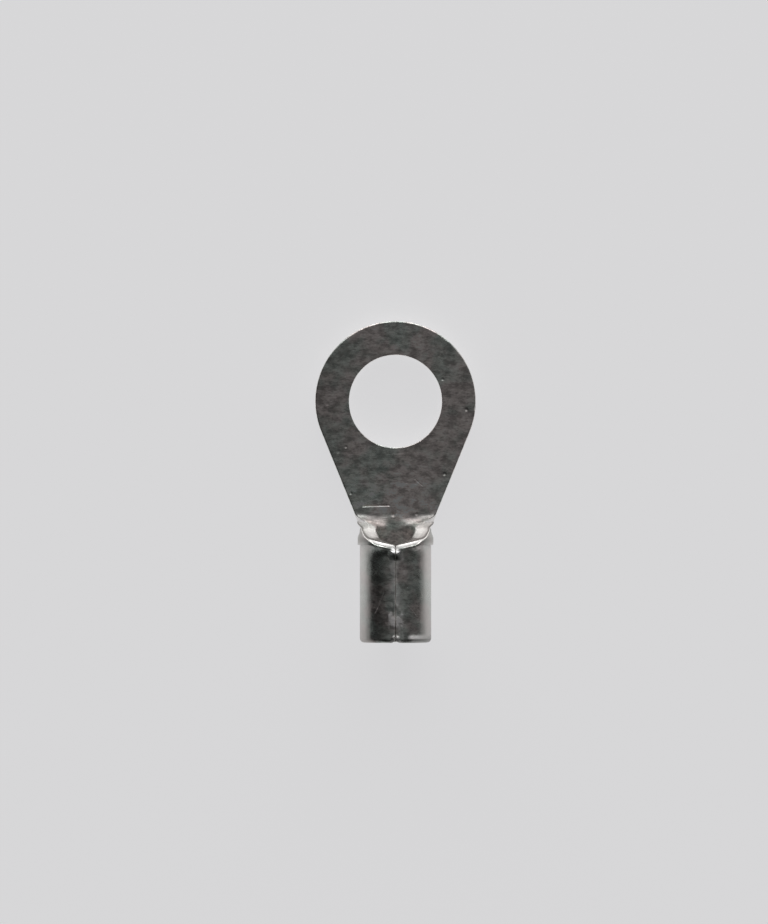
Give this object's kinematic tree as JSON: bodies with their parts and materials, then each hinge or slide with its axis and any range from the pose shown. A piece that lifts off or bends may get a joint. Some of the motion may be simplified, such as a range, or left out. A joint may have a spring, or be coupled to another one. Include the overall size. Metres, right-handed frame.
{
  "type": "ring terminal",
  "caption": "Uninsulated crimp ring terminal: flat ring with a stud hole, tapered tongue, and a rolled butt-seam barrel that takes a stripped wire.",
  "frame": {"origin": "centre of the stud hole, on the underside of the ring that bears on the busbar or the table", "axes": "+Z out of the stud hole towards the seam's side, +Y along the terminal's length towards the tip of the ring; the wire comes in from -Y"},
  "size_m": [0.0074, 0.0148, 0.0034],
  "materials": {
    "tin_plate": "bright tin plate over copper, satin"
  },
  "bodies": {
    "root": {"ring_terminal": "tin_plate"}
  },
  "joints": []
}
